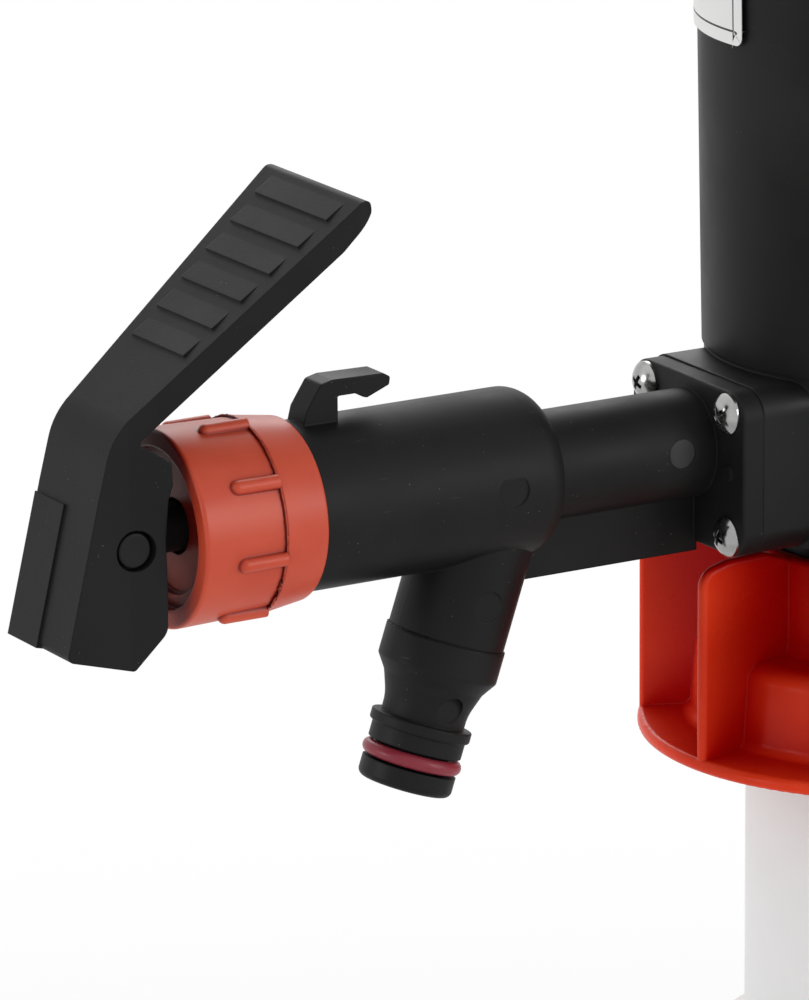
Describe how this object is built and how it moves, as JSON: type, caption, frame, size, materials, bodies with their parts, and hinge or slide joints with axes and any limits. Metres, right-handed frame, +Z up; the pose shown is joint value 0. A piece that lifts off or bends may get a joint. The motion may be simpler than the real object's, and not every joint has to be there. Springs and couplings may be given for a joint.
{
  "type": "drum pump",
  "caption": "Hand lift pump with a winged screw cap, suction tube, black barrel, T-handle, and a side arm with a lever tap and hose nipple.",
  "frame": {"origin": "centre of the gasket face that rests on the drum's neck, on the barrel's axis", "axes": "+Z up along the barrel; -X along the outlet arm towards the tap; the picture shows the -Y side"},
  "size_m": [0.2063, 0.11, 0.7497],
  "materials": {
    "tube_white": "satin",
    "socket_white": "satin",
    "gasket_rubber": "matte",
    "cap_red": "satin",
    "nut_red": "satin",
    "moulded_black": "satin",
    "barrel_black": "satin",
    "arm_black": "fine matte grain",
    "lever_black": "coarser matte grain",
    "handle_black": "satin",
    "label_white": "printed film",
    "ring_burgundy": "satin",
    "steel": "polished"
  },
  "bodies": {
    "root": {"pump_head": "moulded_black", "barrel": "barrel_black", "barrel_seal": "gasket_rubber", "barrel_label": "label_white", "cylinder_liner": "socket_white", "barrel_top_cap": "cap_red", "rod_guide_bush": "socket_white", "rod_seal": "gasket_rubber", "tube_socket": "socket_white", "cap_gasket": "gasket_rubber", "suction_tube": "tube_white", "foot_valve_body": "moulded_black", "foot_valve_cage": "moulded_black", "strainer": "moulded_black", "outlet_arm": "arm_black", "flange_o_ring": "gasket_rubber", "flange_screws": "steel", "hose_nipple": "arm_black", "nipple_o_ring": "ring_burgundy", "gland_nut": "nut_red", "stem_guide": "socket_white", "stem_o_ring": "gasket_rubber", "valve_spring": "steel"},
    "cap": {"drum_cap": "cap_red"},
    "piston": {"piston_head": "moulded_black", "piston_seal": "gasket_rubber", "piston_valve_stop": "socket_white"},
    "piston_disc": {"piston_valve_disc": "gasket_rubber"},
    "rod": {"piston_rod": "steel", "rod_clip": "steel", "handle_grip": "handle_black", "handle_screw": "steel"},
    "adapter": {"neck_adapter": "tube_white", "adapter_seal": "gasket_rubber"},
    "foot_ball": {"foot_valve_ball": "steel"},
    "stem": {"valve_stem": "moulded_black", "valve_disc": "gasket_rubber", "lever_pin": "moulded_black"},
    "lever": {"lever": "lever_black"}
  },
  "joints": [
    {"name": "pump_stroke", "type": "slide", "parent": "root", "child": "piston", "axis": [0, 0, 1], "range_m": [0, 0.15]},
    {"name": "handle_turn", "type": "hinge", "parent": "piston", "child": "rod", "pos_m": [0, 0, 0.3], "axis": [0, 0, 1], "continuous": true},
    {"name": "piston_valve_lift", "type": "slide", "parent": "piston", "child": "piston_disc", "axis": [0, 0, 1], "range_m": [0, 0.0025]},
    {"name": "foot_valve_lift", "type": "slide", "parent": "root", "child": "foot_ball", "axis": [0, 0, 1], "range_m": [0, 0.006]},
    {"name": "cap_spin", "type": "hinge", "parent": "root", "child": "cap", "pos_m": [0, 0, 0], "axis": [0, 0, 1], "continuous": true},
    {"name": "adapter_slide", "type": "slide", "parent": "root", "child": "adapter", "axis": [0, 0, 1], "range_m": [-0.28, 0.052]},
    {"name": "stem_pull", "type": "slide", "parent": "root", "child": "stem", "axis": [-1, 0, 0], "range_m": [0, 0.00379], "stiffness_N_per_m": 600, "springref_m": -0.01, "deforming": ["valve_spring"]},
    {"name": "lever_press", "type": "hinge", "parent": "stem", "child": "lever", "pos_m": [-0.15014, 0, 0.0476], "axis": [0, 1, 0], "range_deg": [0, 24]}
  ],
  "couplings": [
    {"joint": "lever_press", "follows": "stem_pull", "rad_per_m": 110.5}
  ]
}
